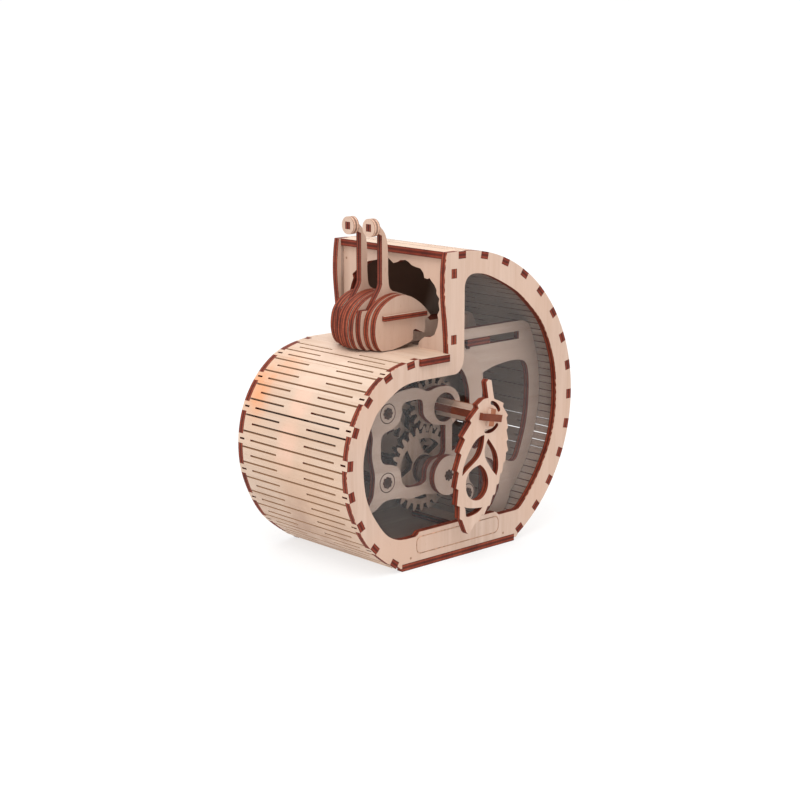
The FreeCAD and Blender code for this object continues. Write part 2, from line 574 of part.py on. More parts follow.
guide_piece("guide_near", d("guide_front") + PLY)
guide_piece("guide_far", -d("guide_front"))

# cross rail on the base between the guides
slab("rest_rail", "XY_Plane", [rect(26.0, -20.9, 38.0, 20.9)], "ply", (0, 0, PLY))

# ------------------------------------------------------- rods, rings, bushes
for name, (rx, rz) in RODS:
    b = doc.addObject("PartDesign::Body", name)
    r = d("rod_radius")
    sk = sketch(b, name + "_section", "XZ_Plane", [star(rx, rz, r - 0.02, r - 1.04, 8)])
    pad = b.newObject("PartDesign::Pad", name + "_pad")
    pad.Profile = sk
    pad.setExpression("Length", "-2 * dims.frame_front + 1")
    pad.Midplane = True
    doc.recompute()
    parts[name] = b


def ring_set(label, y, centres, outer, inner, thick):
    """Identical rings on the frame, one at each centre."""
    made = []
    for i, (x, z) in enumerate(centres):
        rot = Rotation(Vector(1, 0, 0), -90)
        big = doc.addObject("Part::Cylinder", "%s_%d_out" % (label, i))
        big.setExpression("Radius", "dims." + outer)
        big.setExpression("Height", "dims." + thick)
        small = doc.addObject("Part::Cylinder", "%s_%d_in" % (label, i))
        small.setExpression("Radius", "dims." + inner)
        small.setExpression("Height", "dims.%s + 2" % thick)
        big.Placement = Placement(Vector(x, y, z), rot)
        small.Placement = Placement(Vector(x, y - 1, z), rot)
        c = doc.addObject("Part::Cut", "%s_%d" % (label, i))
        c.Base, c.Tool = big, small
        made.append(c)
    if len(made) == 1:
        made[0].Label = label
        doc.recompute()
        parts[label] = made[0]
        return made[0]
    comp = doc.addObject("Part::Compound", label)
    comp.Links = made
    doc.recompute()
    parts[label] = comp
    return comp


ff = d("frame_front")
ring_set("shaft_bush_far", -ff, [(CX, CZ)], "bush_radius", "shaft_hole", "ring_thickness")


# -------------------------------------------------------------------- gears
def gear_loop(cx, cz, n, phase):
    """Involute gear outline with a tooth centred at angle phase (radians)."""
    m, pa, bl = MOD, math.radians(d("pressure_angle")), d("backlash")
    rp = m * n / 2
    rb, ro, rr = rp * math.cos(pa), rp + m, rp - 1.25 * m
    inv = math.tan(pa) - pa
    half = math.pi / (2 * n) - bl / rp

    def flank(r):
        if r <= rb:
            return half + inv
        a = math.acos(rb / r)
        return half + inv - (math.tan(a) - a)
    rs = [max(rb, rr + 0.3)]
    rs = [rs[0] + (ro - rs[0]) * k / 4 for k in range(5)]
    items = []
    start = None
    prev = None
    for k in range(n):
        c = phase + 2 * math.pi * k / n
        up = [(cx + r * math.cos(c - flank(r)), cz + r * math.sin(c - flank(r))) for r in rs]
        dn = [(cx + r * math.cos(c + flank(r)), cz + r * math.sin(c + flank(r))) for r in rs[::-1]]
        root_in = (cx + rr * math.cos(c - flank(rs[0])), cz + rr * math.sin(c - flank(rs[0])))
        root_out = (cx + rr * math.cos(c + flank(rs[0])), cz + rr * math.sin(c + flank(rs[0])))
        if prev is not None:
            items.append(("L", [prev, root_in]))
        else:
            start = root_in
        items.append(("L", [root_in, up[0]]))
        items.append(("S", up))
        items.append(("L", [up[-1], dn[0]]))
        items.append(("S", dn))
        items.append(("L", [dn[-1], root_out]))
        prev = root_out
    items.append(("L", [prev, start]))
    return items


def gear_windows(cx, cz, r0, r1, half0, half1, first):
    """Four windows of a gear, their mid-lines at first and every right angle from it."""
    out = []
    for k in range(4):
        a = first + 90.0 * k
        p, q = polar(cx, cz, r1, a - half1), polar(cx, cz, r1, a + half1)
        u, v = polar(cx, cz, r0, a + half0), polar(cx, cz, r0, a - half0)
        out.append([("A", p, polar(cx, cz, r1, a), q), ("L", [q, u]), ("A", u, polar(cx, cz, r0, a), v), ("L", [v, p])])
    return out


PLUS = math.radians(-12.0)
half2 = math.pi / N2
pa_front, pb_front = d("plane_a"), d("plane_b")
fit = 2 * d("slot_fit")
shaft_cross = plus(CX, CZ, PLUS, d("shaft_span") + fit, d("shaft_span_b") + fit, PLY + fit)

slab("pinion_crank", "XZ_Plane", [gear_loop(CX, CZ, N1, IA), shaft_cross], "ply",
     (0, pa_front + PLY, 0))
slab("gear_idler", "XZ_Plane",
     [gear_loop(IX, IZ, N2, IA + math.pi + half2), [("C", (IX, IZ), "rod_radius")]]
     + gear_windows(IX, IZ, 9.0, 17.4, 12.0, 28.0, 72.0), "ply", (0, pa_front + PLY, 0))
slab("pinion_idler", "XZ_Plane", [gear_loop(IX, IZ, N1, IA + math.pi), [("C", (IX, IZ), "rod_radius")]], "ply",
     (0, pb_front + PLY, 0))
slab("gear_output", "XZ_Plane", [gear_loop(CX, CZ, N2, IA + half2), [("C", (CX, CZ), "shaft_hole")]]
     + gear_windows(CX, CZ, 11.4, 17.6, 14.0, 28.0, 30.0), "ply", (0, pb_front + PLY, 0))


# ----------------------------------------------------- plus-shaped shafts
def strip_pair(name_a, name_b, cx, cz, y0, y1, span_a, span_b):
    """Two crossed strips; each is notched over half its length for the other."""
    length = y1 - y0
    ym = (y0 + y1) / 2
    for name, turn, n0, n1, wide in ((name_a, 0.0, ym, y1, span_a), (name_b, math.pi / 2, y0, ym, span_b)):
        b = doc.addObject("PartDesign::Body", name)
        sk = sketch(b, name + "_section", "XZ_Plane", [turned(cx, cz, PLUS + turn, wide / 2, PLY / 2)])
        pad = b.newObject("PartDesign::Pad", name + "_pad")
        pad.Profile = sk
        pad.Length = length
        b.Placement = Placement(Vector(0, y1, 0), Rotation())
        doc.recompute()
        # local depth 0 is the far end, so a global y is at lift y1 - y
        cut(b, name + "_notch", "XZ_Plane", [turned(cx, cz, PLUS + turn, PLY / 2 + 0.03, PLY)], n1 - n0,
            lift=y1 - n1, reverse=True)
        parts[name] = b


strip_pair("shaft_strip_a", "shaft_strip_b", CX, CZ, d("shaft_front_y"), 31.5, d("shaft_span"), d("shaft_span_b"))

axle = doc.addObject("PartDesign::Body", "axle_idler")
sk = sketch(axle, "axle_idler_section", "XZ_Plane", [star(IX, IZ, d("rod_radius") - 0.02, d("rod_radius") - 1.04, 8)])
pad = axle.newObject("PartDesign::Pad", "axle_idler_pad")
pad.Profile = sk
pad.Length = 70.0
axle.Placement = Placement(Vector(0, 31.5, 0), Rotation())
doc.recompute()
parts["axle_idler"] = axle

slab("shaft_collar", "XZ_Plane", [[("C", (CX, CZ), "collar_radius")], shaft_cross], "ply", (0, -20.8, 0))
df = d("disc_front")
axle_bore = [("C", (IX, IZ), "rod_radius")]
slab("disc_idler", "XZ_Plane", [[("C", (IX, IZ), "disc_radius")], lobed_hole(IX, IZ)], "ply", (0, df + PLY, 0),
     ("y", "dims.disc_front + dims.ply"))
slab("sleeve_idler", "XZ_Plane", [[("C", (IX, IZ), "spacer_radius")], axle_bore], "sleeve", (0, df + PLY + d("sleeve"), 0),
     ("y", "dims.disc_front + dims.ply + dims.sleeve"))
slab("hub_idler", "XZ_Plane", [[("C", (IX, IZ), "hub_radius")], axle_bore], "ply", (0, pa_front, 0))

# -------------------------------------------------------------- leaf crank
def saw(pts, depth):
    """Saw-tooth edge: a tip at every point, a notch just after it, cut inwards."""
    out = [pts[0]]
    for a, b in zip(pts[:-1], pts[1:]):
        dx, dz = b[0] - a[0], b[1] - a[1]
        length = math.hypot(dx, dz)
        nx, nz = dz / length, -dx / length
        out.append((a[0] + dx * 0.2 + nx * depth, a[1] + dz * 0.2 + nz * depth))
        out.append(b)
    return out


stem = [(3.3, 92.1), (1.6, 101.0), (3.1, 102.4), (5.5, 101.6), (6.4, 97.2), (7.3, 92.9), (7.9, 90.9), (11.1, 89.6),
        (15.2, 87.6)]
right_edge = [(15.2, 87.6), (18.7, 80.3), (18.9, 73.4), (19.1, 66.8), (19.2, 60.2), (17.2, 54.6), (14.7, 48.7),
              (12.2, 42.8), (9.3, 37.3), (5.3, 31.5), (0.9, 27.1), (-4.3, 23.3), (-8.4, 20.8)]
tip = [(-8.4, 20.8), (-11.5, 18.6), (-12.8, 20.0)]
left_edge = [(-12.8, 20.0), (-16.0, 27.2), (-17.9, 28.3), (-17.9, 35.2), (-20.0, 36.2), (-19.0, 44.7), (-20.8, 45.9),
             (-18.8, 54.1), (-20.2, 55.4), (-16.9, 63.8), (-18.5, 65.2), (-14.3, 71.7), (-16.0, 73.6), (-9.6, 80.2),
             (-10.8, 82.0), (-4.2, 87.4), (-5.0, 89.4), (-0.3, 92.0), (3.3, 92.1)]
leaf_outline = [("L", stem), ("L", saw(right_edge, 1.2)), ("L", tip), ("L", left_edge)]
cut_ul = [("S", [(0.5, 72.0), (0.3, 69.3), (-0.4, 65.8), (-1.5, 63.1), (-3.4, 60.4), (-7.2, 57.7), (-11.6, 55.1), (-16.1, 51.9)]),
          ("S", [(-16.1, 51.9), (-15.7, 55.4), (-13.7, 60.1), (-11.1, 64.3), (-8.3, 68.0), (-5.1, 70.6), (0.5, 72.0)])]
cut_ur = [("S", [(3.6, 69.5), (6.9, 65.5), (10.0, 60.8), (11.3, 56.8), (11.6, 52.9), (10.2, 47.7)]),
          ("S", [(10.2, 47.7), (7.2, 50.8), (4.5, 54.2), (2.2, 57.6), (1.0, 60.2), (0.8, 63.3), (1.6, 66.4), (3.6, 69.5)])]
cut_tear = [("S", [(-2.6, 55.9), (1.3, 52.4), (3.5, 47.7), (3.8, 43.9), (2.4, 39.9), (-0.4, 37.2), (-3.7, 36.2), (-6.6, 36.6),
                   (-9.8, 38.2), (-12.4, 41.3), (-13.4, 45.7), (-12.9, 49.8), (-11.2, 52.5), (-8.0, 54.6), (-2.6, 55.9)])]
cut_bot = [("S", [(-14.9, 34.5), (-11.3, 33.2), (-6.2, 32.2), (-0.6, 31.6)]),
           ("S", [(-0.6, 31.6), (-2.8, 30.0), (-6.2, 28.8), (-10.0, 28.3), (-12.9, 28.8), (-13.4, 31.0), (-14.9, 34.5)])]


def arc_slot(cx, cz, r, w, a0, a1):
    ri, ro = r - w / 2, r + w / 2
    am = (a0 + a1) / 2
    e = math.degrees(w / 2 / r)
    return [("A", polar(cx, cz, ri, a0), polar(cx, cz, ri, am), polar(cx, cz, ri, a1)),
            ("A", polar(cx, cz, ri, a1), polar(cx, cz, r, a1 + e), polar(cx, cz, ro, a1)),
            ("A", polar(cx, cz, ro, a1), polar(cx, cz, ro, am), polar(cx, cz, ro, a0)),
            ("A", polar(cx, cz, ro, a0), polar(cx, cz, r, a0 - e), polar(cx, cz, ri, a0))]


leaf_loops = [leaf_outline, shaft_cross, cut_ul, cut_ur, cut_tear, cut_bot,
              arc_slot(CX, CZ, 7.9, 2.2, 22, 76), arc_slot(CX, CZ, 7.9, 2.2, -110, -42)]
lf = d("leaf_front_y")
slab("leaf_crank", "XZ_Plane", leaf_loops, "ply", (0, lf + PLY, 0), ("y", "dims.leaf_front_y + dims.ply"))

# --------------------------------------------------------------------- head
FLOOR = STEP + 0.4
HC = (-17.0, 132.0)
L1_TOP = [(2.9, 132.1), (1.3, 134.1), (-1.6, 137.1), (-4.9, 139.9), (-9.0, 142.5), (-13.1, 144.4), (-18.0, 145.4),
          (-22.5, 145.1), (-27.0, 143.8), (-31.5, 141.4), (-35.3, 137.9), (-37.4, 134.0), (-38.2, 130.0), (-38.3, 125.8),
          (-37.4, 121.5), (-35.6, 118.0), (-33.6, 116.2)]
L1_LOW = [(-33.6, 116.2), (-25.4, 116.1), (-18.9, 117.3), (-12.1, 119.0), (-10.6, 120.2), (-10.3, 122.7), (-10.2, 125.2),
          (-8.5, 125.8), (-4.6, 123.9), (-1.9, 122.9), (-1.1, 124.0), (-1.2, 129.7), (-0.5, 130.6), (2.9, 132.1)]
GROW = {1: (1.0, 1.0), 2: (1.07, 1.03), 3: (1.15, 1.06), 4: (1.25, 1.08), 5: (1.27, 1.10)}


def scaled(pts, g, floor=FLOOR):
    out = []
    for x, z in pts:
        q = (HC[0] + (x - HC[0]) * g[0], max(floor, HC[1] + (z - HC[1]) * g[1]))
        if not out or math.hypot(q[0] - out[-1][0], q[1] - out[-1][1]) > 0.05:
            out.append(q)
    return out


SHELF_X0, SHELF_X1, SHELF_Z = -33.2, -1.6, 132.7
SHELF_T = d("shelf")
f = d("slot_fit")
shelf_hole = rect(SHELF_X0 - f, SHELF_Z - f, SHELF_X1 + f, SHELF_Z + SHELF_T + f)
mid_half = d("layer_mid") / 2
LAYER_Y = {5: (-mid_half, mid_half)}
for k in range(1, 5):
    LAYER_Y[5 - k] = (-mid_half - k * d("layer"), -mid_half - (k - 1) * d("layer"))
    LAYER_Y[5 + k] = (mid_half + (k - 1) * d("layer"), mid_half + k * d("layer"))


def layer_loops(kind):
    g = GROW[kind]
    top, low = scaled(L1_TOP, g), scaled(L1_LOW, g)
    low[0], low[-1] = top[-1], top[0]
    if kind in (1, 2):
        return [[("S", top), ("L", low)], shelf_hole]
    if kind == 3:
        # the stalk, its flared foot and the eye's tongue
        r = [p for p in top if p[0] > -17.0]
        ez = d("eye_z")
        lft = [(-40.6, 138.0), (-41.6, 134.5), (-42.0, 130.0), (-41.8, 124.5), (-40.2, 119.5), (-37.2, FLOOR)]
        low2 = [p for p in low if p[0] > -35.5]
        low2[-1] = top[0]
        return [[("S", r + [(-20.3, 148.6), (-21.2, 152.0), (-21.6, 156.5)]), ("L", [(-21.6, 156.5), (-21.6, 167.0)]),
                 ("S", [(-21.6, 167.0), (-22.2, 173.8), (-22.9, 176.6), (-23.9, 178.9), (-25.4, 180.9), (-27.2, 182.7),
                        (-28.6, ez + 2)]),
                 ("L", [(-28.6, ez + 2), (-34.0, ez + 2), (-34.0, ez - 2),
                        (-29.95, ez - 2), (-29.95, 179.6), (-26.05, 177.8), (-26.05, 151.2)]),
                 ("S", [(-26.05, 151.2), (-27.3, 148.3), (-29.0, 145.9), (-32.0, 141.6), (-34.4, 138.0)]),
                 ("L", [(-34.4, 138.0), (-40.6, 138.0)]), ("S", lft), ("L", [(-37.2, FLOOR)] + low2)],
                shelf_hole]
    if kind == 4:
        neck = [(top[-1]), (-20.0, FLOOR), (16.9, FLOOR), (16.9, 116.2), (44.0, 116.2), (44.0, 126.6), (14.0, 126.6), top[0]]
        return [[("S", top), ("L", neck)], shelf_hole]
    raise ValueError(kind)


for n in (1, 2, 3, 4, 6, 7, 8, 9):
    kind = n if n < 5 else 10 - n
    y0, y1 = LAYER_Y[n]
    slab("head_layer_%d" % n, "XZ_Plane", layer_loops(kind), "layer", (0, y1, 0))

# the middle layer is in two pieces, in front of and behind the coin slot
cs1 = 6.0
cs0 = cs1 - d("coin_slot_length")
top5 = scaled(L1_TOP, GROW[5])
front_top = [p for p in top5 if p[0] < cs0 - 0.6]
before5 = [p for p in top5 if p[0] >= cs0 - 0.6][-1]
edge5 = before5[1] + (front_top[0][1] - before5[1]) * (cs0 - before5[0]) / (front_top[0][0] - before5[0])
front5 = [("L", [(cs0, FLOOR), (cs0, SHELF_Z - f), (SHELF_X0 - f, SHELF_Z - f), (SHELF_X0 - f, SHELF_Z + SHELF_T + f),
                 (cs0, SHELF_Z + SHELF_T + f), (cs0, edge5)]),
          ("S", [(cs0, edge5)] + front_top), ("L", [front_top[-1], (cs0, FLOOR)])]
slab("head_layer_5", "XZ_Plane", [front5], "layer_mid", (0, mid_half, 0))
rear5 = [("L", [(cs1, FLOOR), (16.9, FLOOR), (16.9, 116.2), (44.0, 116.2), (44.0, 126.6), (14.0, 126.6), (9.4, 131.0),
                (cs1, 134.4), (cs1, FLOOR)])]
slab("head_layer_5_rear", "XZ_Plane", [rear5], "layer_mid", (0, mid_half, 0))

shelf_y = mid_half + 4 * d("layer") + 2.2
slab("head_shelf", "XY_Plane",
     [[("L", [(SHELF_X0, -shelf_y), (SHELF_X1, -shelf_y), (SHELF_X1, -mid_half), (cs0, -mid_half), (cs0, mid_half),
              (SHELF_X1, mid_half), (SHELF_X1, shelf_y), (SHELF_X0, shelf_y), (SHELF_X0, -shelf_y)])]],
     "shelf", (0, 0, SHELF_Z))

for tag, n in (("near", 3), ("far", 7)):
    yc = sum(LAYER_Y[n]) / 2
    ez = d("eye_z")
    slab("eye_%s" % tag, "YZ_Plane",
         [[("C", (yc, ez), "eye_radius")], rect(yc - 2 - f, ez - 2 - f, yc + 2 + f, ez + 2 + f)], "ply", (-34.0, 0, 0))

# carriage plate with its tongues, and the rack under it
cz0 = d("carriage_z")
carriage = slab("carriage_plate", "XY_Plane",
                [[("L", [(17.0, -20.6), (26.0, -20.6), (26.0, -24.8), (44.0, -24.8), (44.0, -20.6), (47.0, -20.6),
                         (47.0, 20.6), (44.0, 20.6), (44.0, 24.8), (26.0, 24.8), (26.0, 20.6), (17.0, 20.6), (17.0, -20.6)])]],
                "ply", (0, 0, cz0), ("z", "dims.carriage_z"))

pitch = math.pi * MOD
# a tooth of the output gear nearest the top fixes where the rack's gaps are
angles = [IA + half2 + 2 * math.pi * k / N2 for k in range(N2)]
best = min(angles, key=lambda a: abs(((a - math.pi / 2 + math.pi) % (2 * math.pi)) - math.pi))
off = ((best - math.pi / 2 + math.pi) % (2 * math.pi)) - math.pi
gap_x = CX - off * MOD * N2 / 2
tan = math.tan(math.radians(d("pressure_angle")))
zp = d("rack_pitch")
add, ded = MOD, 1.25 * MOD
halfp = pitch / 4 - d("backlash")
k0, k1 = -3, 4
rk = []
for k in range(k0, k1 + 1):
    tc = gap_x + (k + 0.5) * pitch
    rk += [(tc - halfp - ded * tan, zp + ded), (tc - halfp + add * tan, zp - add), (tc + halfp - add * tan, zp - add),
           (tc + halfp + ded * tan, zp + ded)]
x0r, x1r = rk[0][0] - 1.2, rk[-1][0] + 1.2
rack_loop = [("L", [(x0r, cz0 - 1.2), (x0r, zp + ded)] + rk + [(x1r, zp + ded), (x1r, cz0), (17.2, cz0), (17.2, cz0 - 1.2), (x0r, cz0 - 1.2)])]
slab("rack", "XZ_Plane", [rack_loop], "ply", (0, pb_front + PLY, 0))

# --------------------------------------------------------- hatch and its pin
slab("hatch_cover", "XZ_Plane",
     [[("A", polar(hx, hz, d("cover_radius"), 110), polar(hx, hz, d("cover_radius"), -90), polar(hx, hz, d("cover_radius"), 70)),
       ("S", [polar(hx, hz, d("cover_radius"), 70), (PIN[0] + 6.0, PIN[1] - 3.0), (PIN[0] + 5.4, PIN[1] + 2.6), (PIN[0], PIN[1] + 6.0),
              (PIN[0] - 5.4, PIN[1] + 2.6), (PIN[0] - 6.0, PIN[1] - 3.0), polar(hx, hz, d("cover_radius"), 110)])],
      [("C", PIN, "pin_hole")]],
     "ply", (0, d("half_width") + 0.3 + PLY, 0))
pin = doc.addObject("PartDesign::Body", "hatch_pin")
sk = sketch(pin, "hatch_pin_profile", "XY_Plane",
            [[("L", [(0, -6.0), (2.48, -6.0), (2.48, 2.6), (4.6, 2.6), (4.6, 3.4), (3.4, 4.2), (0, 4.4), (0, -6.0)])]])
rev = pin.newObject("PartDesign::Revolution", "hatch_pin_turn")
rev.Profile = sk
rev.ReferenceAxis = (sk, ["V_Axis"])
rev.Angle = 360.0
pin.Placement = Placement(Vector(PIN[0], 48.0, PIN[1]), Rotation())
doc.recompute()
parts["hatch_pin"] = pin

# ------------------------------------------------------------------- checks
doc.recompute()
for o in doc.Objects:
    if "Invalid" in o.State or "Error" in o.State:
        raise RuntimeError("object %s is %s" % (o.Name, o.State))
for name, o in parts.items():
    o.Label = name
    s = o.Shape
    if s.isNull() or not s.isValid() or not s.Solids:
        raise RuntimeError("shape of %s is not sound" % name)
    print("%-18s solids %d volume %.1f box %s" % (name, len(s.Solids), s.Volume, [round(v, 1) for v in (
        s.BoundBox.XMin, s.BoundBox.XMax, s.BoundBox.YMin, s.BoundBox.YMax, s.BoundBox.ZMin, s.BoundBox.ZMax)]))
for name, o in parts.items():
    o.Shape.exportStep("parts/%s.step" % name)
print("idler axis", round(IX, 4), round(IZ, 4), "rack", round(x0r, 2), round(x1r, 2), "nodes", len(parts))
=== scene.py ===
import bpy, bmesh, math, random
import numpy as np
from mathutils import Vector, Matrix


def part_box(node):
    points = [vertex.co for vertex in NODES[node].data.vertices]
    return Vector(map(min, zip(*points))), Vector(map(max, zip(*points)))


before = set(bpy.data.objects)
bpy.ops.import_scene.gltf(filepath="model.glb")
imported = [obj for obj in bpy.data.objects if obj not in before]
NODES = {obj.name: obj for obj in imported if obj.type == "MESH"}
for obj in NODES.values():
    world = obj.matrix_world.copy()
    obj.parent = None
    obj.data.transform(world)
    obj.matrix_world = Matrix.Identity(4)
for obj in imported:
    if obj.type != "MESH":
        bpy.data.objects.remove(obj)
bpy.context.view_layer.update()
MM = 0.001
PLY = 4.0 * MM
random.seed(7)


# ------------------------------------------------------------------ node helpers
def new_mat(name):
    m = bpy.data.materials.new(name)
    m.use_nodes = True
    nt = m.node_tree
    nt.nodes.clear()
    out = nt.nodes.new("ShaderNodeOutputMaterial")
    bsdf = nt.nodes.new("ShaderNodeBsdfPrincipled")
    nt.links.new(bsdf.outputs["BSDF"], out.inputs["Surface"])
    return m, nt, bsdf


def lin(rgb):
    return tuple(((c / 255) / 12.92 if c / 255 <= 0.04045 else ((c / 255 + 0.055) / 1.055) ** 2.4) for c in rgb) + (1.0,)


def ramp(nt, stops, interp="LINEAR"):
    r = nt.nodes.new("ShaderNodeValToRGB")
    r.color_ramp.interpolation = interp
    e = r.color_ramp.elements
    e[0].position, e[0].color = stops[0]
    e[1].position, e[1].color = stops[-1]
    for p, c in stops[1:-1]:
        k = e.new(p)
        k.color = c
    return r


def noise(nt, vec, scale, detail=4.0, rough=0.5, dist=0.0):
    n = nt.nodes.new("ShaderNodeTexNoise")
    n.inputs["Scale"].default_value = scale
    n.inputs["Detail"].default_value = detail
    n.inputs["Roughness"].default_value = rough
    n.inputs["Distortion"].default_value = dist
    nt.links.new(vec, n.inputs["Vector"])
    return n


def mapping(nt, scale=(1, 1, 1), loc=(0, 0, 0), rot=(0, 0, 0)):
    tc = nt.nodes.new("ShaderNodeTexCoord")
    mp = nt.nodes.new("ShaderNodeMapping")
    mp.inputs["Scale"].default_value = scale
    mp.inputs["Location"].default_value = loc
    mp.inputs["Rotation"].default_value = rot
    nt.links.new(tc.outputs["Object"], mp.inputs["Vector"])
    return mp.outputs["Vector"]


def mix(nt, a, b, fac, kind="MIX"):
    m = nt.nodes.new("ShaderNodeMix")
    m.data_type = "RGBA"
    m.blend_type = kind
    ins = [s for s in m.inputs if s.type == "RGBA"]
    fs = m.inputs[0]
    if hasattr(fac, "is_output"):
        nt.links.new(fac, fs)
    else:
        fs.default_value = fac
    for s, v in ((ins[0], a), (ins[1], b)):
        if hasattr(v, "is_output"):
            nt.links.new(v, s)
        else:
            s.default_value = v
    return [o for o in m.outputs if o.type == "RGBA"][0]


def bump(nt, height, strength, distance, normal=None):
    b = nt.nodes.new("ShaderNodeBump")
    b.inputs["Strength"].default_value = strength
    b.inputs["Distance"].default_value = distance
    nt.links.new(height, b.inputs["Height"])
    if normal is not None:
        nt.links.new(normal, b.inputs["Normal"])
    return b.outputs["Normal"]


# ------------------------------------------------------------------ ply faces
def near_point(nt, co, r0, r1):
    """1 within r0 of a point of the object, falling to 0 at r1."""
    tc = nt.nodes.new("ShaderNodeTexCoord")
    vm = nt.nodes.new("ShaderNodeVectorMath")
    vm.operation = "DISTANCE"
    nt.links.new(tc.outputs["Object"], vm.inputs[0])
    vm.inputs[1].default_value = co
    mr = nt.nodes.new("ShaderNodeMapRange")
    mr.interpolation_type = "SMOOTHSTEP"
    mr.inputs["From Min"].default_value = r0
    mr.inputs["From Max"].default_value = r1
    mr.inputs["To Min"].default_value = 1.0
    mr.inputs["To Max"].default_value = 0.0
    nt.links.new(vm.outputs["Value"], mr.inputs["Value"])
    return mr.outputs["Result"]


def in_zone(nt, x_below, z_above):
    """1 where X is under x_below and Z is over z_above."""
    tc = nt.nodes.new("ShaderNodeTexCoord")
    sep = nt.nodes.new("ShaderNodeSeparateXYZ")
    nt.links.new(tc.outputs["Object"], sep.inputs["Vector"])
    out = []
    for axis, op, lim in ((0, "LESS_THAN", x_below), (2, "GREATER_THAN", z_above)):
        m = nt.nodes.new("ShaderNodeMath")
        m.operation = op
        nt.links.new(sep.outputs[axis], m.inputs[0])
        m.inputs[1].default_value = lim
        out.append(m.outputs[0])
    m = nt.nodes.new("ShaderNodeMath")
    m.operation = "MULTIPLY"
    nt.links.new(out[0], m.inputs[0])
    nt.links.new(out[1], m.inputs[1])
    return m.outputs[0]


def ply_face(name, grain, light, dark, warm, seed, rough=0.6, spots=(), stains_and_painted_light=(), zone=None):
    """Birch face veneer: streaks along the grain axis, soft cloudy tone, small pores."""
    m, nt, bsdf = new_mat(name)
    cross, along = 1.0, 0.055
    sc = [cross, cross, cross]
    sc[grain] = along
    off = (seed * 1.37, seed * 2.11, seed * 0.73)
    v = mapping(nt, tuple(sc), off)
    fine = noise(nt, v, 620.0, 6.0, 0.62, 0.15)
    mid = noise(nt, v, 150.0, 5.0, 0.55, 0.8)
    v2 = mapping(nt, (1, 1, 1), off)
    cloud = noise(nt, v2, 16.0, 3.0, 0.5)
    rf = ramp(nt, [(0.32, light), (0.72, dark)])
    nt.links.new(mid.outputs["Fac"], rf.inputs["Fac"])
    rs = ramp(nt, [(0.35, (0.90, 0.86, 0.82, 1)), (0.62, (1, 1, 1, 1))])
    nt.links.new(fine.outputs["Fac"], rs.inputs["Fac"])
    c = mix(nt, rf.outputs["Color"], rs.outputs["Color"], 0.55, "MULTIPLY")
    rc = ramp(nt, [(0.42, (0, 0, 0, 1)), (0.72, (1, 1, 1, 1))])
    nt.links.new(cloud.outputs["Fac"], rc.inputs["Fac"])
    c = mix(nt, c, warm, rc.outputs["Color"], "MIX")
    # pores: short dark dashes along the grain
    sp = [2.2, 2.2, 2.2]
    sp[grain] = 0.22
    v3 = mapping(nt, tuple(sp), off)
    pores = noise(nt, v3, 900.0, 2.0, 0.5)
    rp = ramp(nt, [(0.24, (0.62, 0.48, 0.38, 1)), (0.31, (1, 1, 1, 1))])
    nt.links.new(pores.outputs["Fac"], rp.inputs["Fac"])
    c = mix(nt, c, rp.outputs["Color"], 0.6, "MULTIPLY")
    # the zone swaps in lighter tones where a shaded copy should read as lit
    if zone:
        rz = ramp(nt, [(0.32, zone[2]), (0.72, zone[3])])
        nt.links.new(mid.outputs["Fac"], rz.inputs["Fac"])
        c = mix(nt, c, rz.outputs["Color"], in_zone(nt, zone[0], zone[1]))
    # marks near given points: real stains, or painted shade and painted highlight
    for co, r0, r1, tone, amount in stains_and_painted_light:
        if amount >= 1:
            c = mix(nt, c, tone, near_point(nt, co, r0, r1))
            continue
        f = nt.nodes.new("ShaderNodeMath")
        f.operation = "MULTIPLY"
        nt.links.new(near_point(nt, co, r0, r1), f.inputs[0])
        rn = ramp(nt, [(0.35, (0.25 * amount,) * 3 + (1,)), (0.65, (amount,) * 3 + (1,))])
        nt.links.new(noise(nt, v2, 60.0, 4.0, 0.55).outputs["Fac"], rn.inputs["Fac"])
        nt.links.new(rn.outputs["Color"], f.inputs[1])
        c = mix(nt, c, tone, f.outputs["Value"])
    for co, r in spots:
        c = mix(nt, c, lin((150, 112, 90)), near_point(nt, co, r * 0.5, r))
    nt.links.new(c, bsdf.inputs["Base Color"])
    rr = ramp(nt, [(0.3, (rough - 0.08,) * 3 + (1,)), (0.7, (rough + 0.1,) * 3 + (1,))])
    nt.links.new(mid.outputs["Fac"], rr.inputs["Fac"])
    nt.links.new(rr.outputs["Color"], bsdf.inputs["Roughness"])
    n1 = bump(nt, fine.outputs["Fac"], 0.25, 0.00012)
    nt.links.new(n1, bsdf.inputs["Normal"])
    bsdf.inputs["Specular IOR Level"].default_value = 0.35
    return m


def math_node(nt, op, a, b=None):
    m = nt.nodes.new("ShaderNodeMath")
    m.operation = op
    for i, v in enumerate((a, b)):
        if v is None:
            continue
        if hasattr(v, "is_output"):
            nt.links.new(v, m.inputs[i])
        else:
            m.inputs[i].default_value = v
    return m.outputs[0]


def depth_right(nt):
    """0 at the inner face of the right skin, 1 at its outer face."""
    tc = nt.nodes.new("ShaderNodeTexCoord")
    sep = nt.nodes.new("ShaderNodeSeparateXYZ")
    nt.links.new(tc.outputs["Object"], sep.inputs["Vector"])
    x = math_node(nt, "MAXIMUM", sep.outputs[0], 0.0)
    z = math_node(nt, "SUBTRACT", sep.outputs[2], 0.0805)
    r = math_node(nt, "SQRT", math_node(nt, "ADD", math_node(nt, "MULTIPLY", x, x), math_node(nt, "MULTIPLY", z, z)))
    return math_node(nt, "DIVIDE", math_node(nt, "SUBTRACT", r, RIGHT_IN), PLY)


LC = (-0.034, 0.060)


